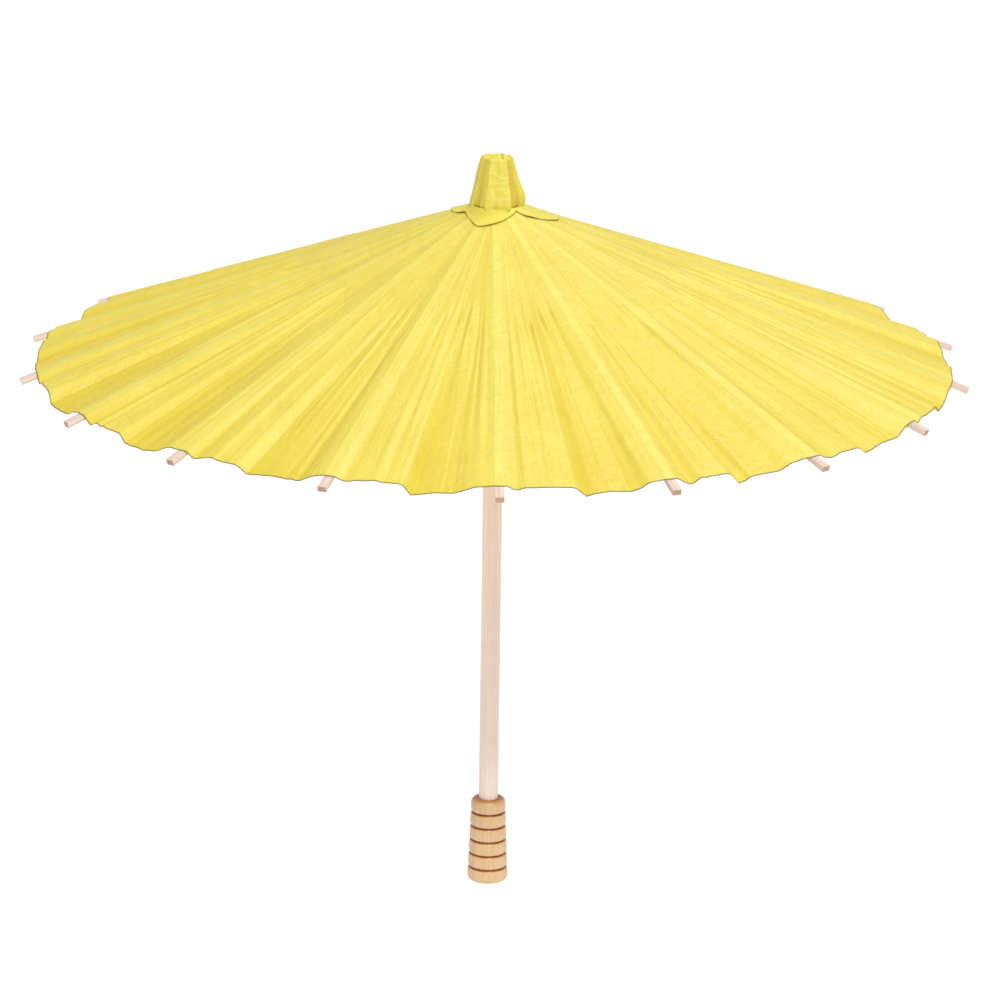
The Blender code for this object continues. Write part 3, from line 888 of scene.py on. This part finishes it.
def add_cap(material):
    """The crumpled paper round the head: creases that run up it, and a ragged folded top."""
    turn = np.linspace(-180, 180, CAP_COLUMNS, endpoint=False)
    side, side_crease_shade = cap_side(turn, Random(SEED))
    rows = side + cap_top(side[-1], turn)
    crease_shade = np.zeros((len(rows), CAP_COLUMNS), np.float32)
    crease_shade[:CAP_SIDE_ROWS] = side_crease_shade
    points = np.concatenate([np.stack(row, -1) for row in rows])
    obj = add_mesh("cap_paper", points, grid_faces(len(rows), CAP_COLUMNS, closed=True), material)
    around = np.tile(CAP_FOOT_RADIUS * np.radians(turn), len(rows))
    add_paper_map(obj, np.stack([around, points[:, 2] * 2], -1), 0)
    edge = np.zeros((len(rows), CAP_COLUMNS), np.float32)
    # Cut edge and painted shade round the hole
    edge[-len(CAP_HOLE_EDGE_AND_SHADE):] = CAP_HOLE_EDGE_AND_SHADE
    add_values(obj, "cut_edge", edge.ravel())
    # Painted shade in the cap's sunken creases
    add_values(obj, "fold", crease_shade.ravel())
    add_thickness(obj, PAPER_THICKNESS, 1.0)
    apply_modifiers(obj)
    obj.data.set_sharp_from_angle(angle=SHARP_EDGE)
    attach(obj, "root")
    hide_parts("cap")


# ---------------------------------------------------------------- shaft and handle

AXIS_HOLE = 0.0001
SHAFT_CHAMFER = 0.0006
SHAFT_ROWS = 24
SHAFT_SEGMENTS = 64
SHAFT_SHARP = radians(35)
SLOT_WIDTH = 0.0020
SLOT_DEPTH = 0.0070
SLOT_SPARE = 0.0030


def add_shaft(material):
    """The stick, with a slot that the catch swings in."""
    profile = [(AXIS_HOLE, SHAFT_TOP), (SHAFT_RADIUS - SHAFT_CHAMFER, SHAFT_TOP)]
    shoulder = SHAFT_TOP - SHAFT_CHAMFER
    for i in range(SHAFT_ROWS + 1):
        profile.append((SHAFT_RADIUS, shoulder - i / SHAFT_ROWS * (shoulder - SHAFT_FOOT)))
    profile.append((AXIS_HOLE, SHAFT_FOOT))
    shaft = turned("shaft_stick", profile, material, SHAFT_SEGMENTS)
    catch_low, catch_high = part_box("catch_spring")
    bm = bmesh.new()
    size = (SLOT_WIDTH, 2 * SLOT_DEPTH, catch_high.z - catch_low.z + 2 * SLOT_SPARE)
    middle = (0, -SHAFT_RADIUS, (catch_high.z + catch_low.z) / 2)
    bmesh.ops.create_cube(bm, size=1, matrix=Matrix.Translation(middle) @ Matrix.Diagonal((*size, 1)))
    cutter_mesh = bpy.data.meshes.new("slot_cutter")
    bm.to_mesh(cutter_mesh)
    bm.free()
    cutter = bpy.data.objects.new("slot_cutter", cutter_mesh)
    bpy.context.scene.collection.objects.link(cutter)
    cut = shaft.modifiers.new("slot", "BOOLEAN")
    cut.object = cutter
    apply_modifiers(shaft)
    bpy.data.objects.remove(cutter)
    shaft.data.set_sharp_from_angle(angle=SHAFT_SHARP)
    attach(shaft, "root")
    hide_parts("shaft")


HANDLE_RINGS = 6
HANDLE_TOP_RADIUS = 0.0095
HANDLE_FOOT_RADIUS = 0.01145
HANDLE_BELLY = 0.0004
HANDLE_ROUND = 0.0024
GROOVE_DEPTH = 0.0009
GROOVE_WIDTH = 0.075
GROOVE_BURN = 1.1 * GROOVE_WIDTH
ROWS_PER_RING = 34
HANDLE_SEGMENTS = 96
HANDLE_SHARP = radians(60)
HANDLE_BORE = SHAFT_RADIUS + 0.0001
BORE_DEPTH = 0.008
SHOULDER_BURN = 0.45
SHOULDER_HEIGHT = 0.0016
# (radius, height, how burnt) under the foot, from its rim in
FOOT_PROFILE = ((0.0060, 0.0, 0.15), (0.0055, 0.0004, 0.4), (AXIS_HOLE, 0.0004, 0.3))


def rounded_edge(distance, size):
    """How far a round edge of this size pulls the side in, at this distance from the end face."""
    away = max(0.0, 1 - distance / size)
    return size * (1 - sqrt(1 - away**2))


def add_handle(material):
    """Six rounded rings between burnt grooves, with a rounded shoulder and foot."""
    count = HANDLE_RINGS * ROWS_PER_RING
    profile = [(HANDLE_BORE, HANDLE_HEIGHT - BORE_DEPTH), (HANDLE_BORE, HANDLE_HEIGHT - 0.0001)]
    burnt = [1.0, 0.8]
    for i in range(count + 1):
        share = 1 - i / count
        z = share * HANDLE_HEIGHT
        phase = (share * HANDLE_RINGS) % 1.0
        near = min(phase, 1 - phase)
        grooved = 0.5 < share * HANDLE_RINGS < HANDLE_RINGS - 0.5
        groove = bump(near / GROOVE_WIDTH) if grooved else 0.0
        radius = HANDLE_FOOT_RADIUS + share * (HANDLE_TOP_RADIUS - HANDLE_FOOT_RADIUS)
        radius += HANDLE_BELLY * (sin(pi * phase) - 0.5) - GROOVE_DEPTH * groove
        radius -= rounded_edge(HANDLE_HEIGHT - z, HANDLE_ROUND) + rounded_edge(z, HANDLE_ROUND)
        profile.append((radius, z))
        shoulder = SHOULDER_BURN * max(0.0, 1 - (HANDLE_HEIGHT - z) / SHOULDER_HEIGHT)
        burnt.append(max(bump(near / GROOVE_BURN) if grooved else 0.0, shoulder))
    for radius, z, burn in FOOT_PROFILE:
        profile.append((radius, z))
        burnt.append(burn)
    obj = turned("handle_grip", profile, material, HANDLE_SEGMENTS)
    add_values(obj, "burnt", np.repeat(burnt, HANDLE_SEGMENTS))
    obj.data.set_sharp_from_angle(angle=HANDLE_SHARP)
    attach(obj, "root")
    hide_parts("handle")


# ---------------------------------------------------------------- frame parts

FLAT_WITHIN = radians(28)
BEVEL_FROM = radians(35)
SLAT_ROUGHNESS = 0.6
RIB_EDGE = 0.0003
STRETCHER_EDGE = 0.0002
CATCH_EDGE = 0.0002
RIB_END_SHOWN = 0.0007
WIRE_RADIUS = 0.00043
WIRE_AROUND = 144
WIRE_SECTION = 10
THREAD_SAG = 0.0022
THREAD_RADIUS = 0.00035
THREAD_SIDES = 8
THREAD_STATIONS = 13


def smooth_sides(obj):
    obj.data.shade_smooth()
    obj.data.set_sharp_from_angle(angle=FLAT_WITHIN)


def soften(obj, width):
    """Takes the hard edges off a carried-over part, without moving its faces."""
    smooth_sides(obj)
    bevel = obj.modifiers.new("eased_edges", "BEVEL")
    bevel.width = width
    bevel.segments = 2
    bevel.limit_method = "ANGLE"
    bevel.angle_limit = BEVEL_FROM
    bevel.use_clamp_overlap = True


def dress(node_name, material, width=0.0):
    """Gives a part carried over from the frame its material, and eased edges of this width."""
    obj = frame["nodes"][node_name]
    obj.data.materials.clear()
    obj.data.materials.append(material)
    if width:
        soften(obj, width)
    else:
        smooth_sides(obj)


def add_wire_ring(name, height, body, material):
    """The wire that the blades turn on."""
    points = []
    for i in range(WIRE_AROUND):
        turn = 2 * pi * i / WIRE_AROUND
        for j in range(WIRE_SECTION):
            angle = 2 * pi * j / WIRE_SECTION
            radius = RING_RADIUS + WIRE_RADIUS * cos(angle)
            points.append((radius * cos(turn), radius * sin(turn), height + WIRE_RADIUS * sin(angle)))
    faces = []
    for i in range(WIRE_AROUND):
        here = i * WIRE_SECTION
        following = (i + 1) % WIRE_AROUND * WIRE_SECTION
        for j in range(WIRE_SECTION):
            k = (j + 1) % WIRE_SECTION
            faces.append((here + j, following + j, following + k, here + k))
    obj = add_mesh(name, points, faces, material)
    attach(obj, body)


def add_thread(index, material):
    """The tying thread, from halfway to the last rib through this rib's joint to halfway to the next."""
    number = NUMBERS[index]
    pin = rib_frame(index) @ Vector((LINK, 0, 0))
    outward = rib_direction(index)
    up = Vector((0, 0, 1))
    middle = PIN_RADIUS * cos(RIB_STEP / 2)
    points = []
    for i in range(THREAD_STATIONS):
        share = 2 * i / (THREAD_STATIONS - 1) - 1
        toward = abs(share)
        azimuth = rib_azimuth(index) + (1 if share > 0 else -1) * RIB_STEP / 2
        end = Vector((middle * cos(azimuth), middle * sin(azimuth), pin.z))
        center = pin.lerp(end, toward) - THREAD_SAG * toward * (2 - toward) * up
        for j in range(THREAD_SIDES):
            angle = 2 * pi * j / THREAD_SIDES
            points.append(center + THREAD_RADIUS * (cos(angle) * outward + sin(angle) * up))
    faces = grid_faces(THREAD_STATIONS, THREAD_SIDES, closed=True)
    faces.append(tuple(reversed(range(THREAD_SIDES))))
    faces.append(tuple(range((THREAD_STATIONS - 1) * THREAD_SIDES, THREAD_STATIONS * THREAD_SIDES)))
    obj = add_mesh(f"thread_{number}", points, faces, material)
    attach(obj, f"rib_{number}")
    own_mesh(obj)


def slat_reach(index, reach):
    """How far along a slat's grain a point this far from the rib's hinge lies."""
    turn = Euler(slat_rotation(index, SLOPE), "XYZ").to_matrix()
    return (turn @ rib_frame(index).translation).x + reach


def add_frame_parts():
    upright = wood_material("head_wood", SLAT_DARK, SLAT_LIGHT, 0.55, UPRIGHT)
    steel = speckled_material("spring_wire", 0.35, 0.5, 1500, 3, WIRE_DARK, WIRE_LIGHT, 1.0)
    thread = speckled_material("thread", 0.85, 0.1, 2200, 2, THREAD_DARK, THREAD_LIGHT)
    dress("top_hub", upright)
    dress("runner", upright)
    dress("catch_spring", steel, CATCH_EDGE)
    add_wire_ring("hub_wire", HEAD_RING, "root", steel)
    add_wire_ring("runner_wire", RUNNER_RING, "runner", steel)
    shown = (TIP_REACH - RIB_END_SHOWN - RING_RADIUS) / cos(SLOPE)
    for index, number in enumerate(NUMBERS):
        rib_wood = wood_material(f"rib_wood_{number}", SLAT_DARK, SLAT_LIGHT, SLAT_ROUGHNESS,
                                 slat_rotation(index, SLOPE), slat_reach(index, shown))
        stretcher_wood = wood_material(f"stretcher_wood_{number}", SLAT_DARK, SLAT_LIGHT, SLAT_ROUGHNESS,
                                       slat_rotation(index, pi - SLOPE))
        dress(f"rib_{number}", rib_wood, RIB_EDGE)
        dress(f"stretcher_{number}", stretcher_wood, STRETCHER_EDGE)
        add_thread(index, thread)


# ---------------------------------------------------------------- stage

CAMERA_DISTANCE = 2.6
CAMERA_AZIMUTH = radians(-0.93)
CAMERA_ELEVATION = radians(16.68)
CAMERA_AIM = Vector((0.0045, 0, 0.2239))
CAMERA_ROLL = radians(0.80)
CAMERA_LENS = 168.6
CAMERA_SENSOR = 36
CAMERA_SEES = 100
FLOOR_RADIUS = 40
FLOOR_HEIGHT = -0.55
WORLD_LIGHT = 0.50
KEY_LIGHT = 1.9
KEY_SPREAD = radians(10)
KEY_FROM = (0.14, -0.67, 0.72)
BACK_LIGHT = 1.08
BACK_SPREAD = radians(20)
BACK_FROM = (0.32, 0.30, 0.87)


def add_camera():
    data = bpy.data.cameras.new("camera")
    data.lens = CAMERA_LENS
    data.sensor_width = CAMERA_SENSOR
    data.clip_end = CAMERA_SEES
    camera = bpy.data.objects.new("camera", data)
    bpy.context.scene.collection.objects.link(camera)
    level = cos(CAMERA_ELEVATION)
    back = Vector((level * sin(CAMERA_AZIMUTH), -level * cos(CAMERA_AZIMUTH), sin(CAMERA_ELEVATION)))
    turn = (-back).to_track_quat("-Z", "Y").to_matrix().to_4x4()
    place = Matrix.Translation(CAMERA_AIM + back * CAMERA_DISTANCE)
    camera.matrix_world = place @ turn @ Matrix.Rotation(CAMERA_ROLL, 4, "Z")
    bpy.context.scene.camera = camera


def add_floor():
    """A pale floor, far enough down to keep the umbrella's shadow out of the picture."""
    bm = bmesh.new()
    bmesh.ops.create_circle(bm, cap_ends=True, radius=FLOOR_RADIUS, segments=64)
    mesh = bpy.data.meshes.new("floor")
    bm.to_mesh(mesh)
    bm.free()
    floor = bpy.data.objects.new("floor", mesh)
    floor.location.z = FLOOR_HEIGHT
    bpy.context.scene.collection.objects.link(floor)
    mesh.materials.append(speckled_material("floor", 0.9, 0.0, 3, 2, FLOOR_DARK, FLOOR_LIGHT))


def add_sun(name, strength, spread, source):
    """A sun that shines from this direction, as soft as its spread."""
    data = bpy.data.lights.new(name, "SUN")
    data.energy = strength
    data.angle = spread
    sun = bpy.data.objects.new(name, data)
    sun.rotation_euler = Vector(source).normalized().to_track_quat("Z", "Y").to_euler()
    bpy.context.scene.collection.objects.link(sun)


def add_light():
    world = bpy.data.worlds.new("studio")
    world.use_nodes = True
    background = world.node_tree.nodes["Background"]
    background.inputs["Color"].default_value = (1, 1, 1, 1)
    background.inputs["Strength"].default_value = WORLD_LIGHT
    bpy.context.scene.world = world
    add_sun("key", KEY_LIGHT, KEY_SPREAD, KEY_FROM)
    add_sun("back", BACK_LIGHT, BACK_SPREAD, BACK_FROM)
    bpy.context.scene.view_settings.view_transform = "Standard"


PAPER = paper_material("yellow_paper_sheet", PAPER_THROUGH)
STRIP_PAPER = paper_material("yellow_paper_strip", STRIP_THROUGH)
CAP_PAPER = paper_material("yellow_paper_cap", CAP_THROUGH, CAP_TINT, CAP_CREASE_PAINTED_SHADE)
add_camera()
add_floor()
add_light()
add_canopy(PAPER, STRIP_PAPER)
add_skirt(CAP_PAPER)
add_cap(CAP_PAPER)
add_shaft(wood_material("stick_wood", STICK_DARK, STICK_LIGHT, 0.5, UPRIGHT))
add_handle(handle_material())
add_frame_parts()
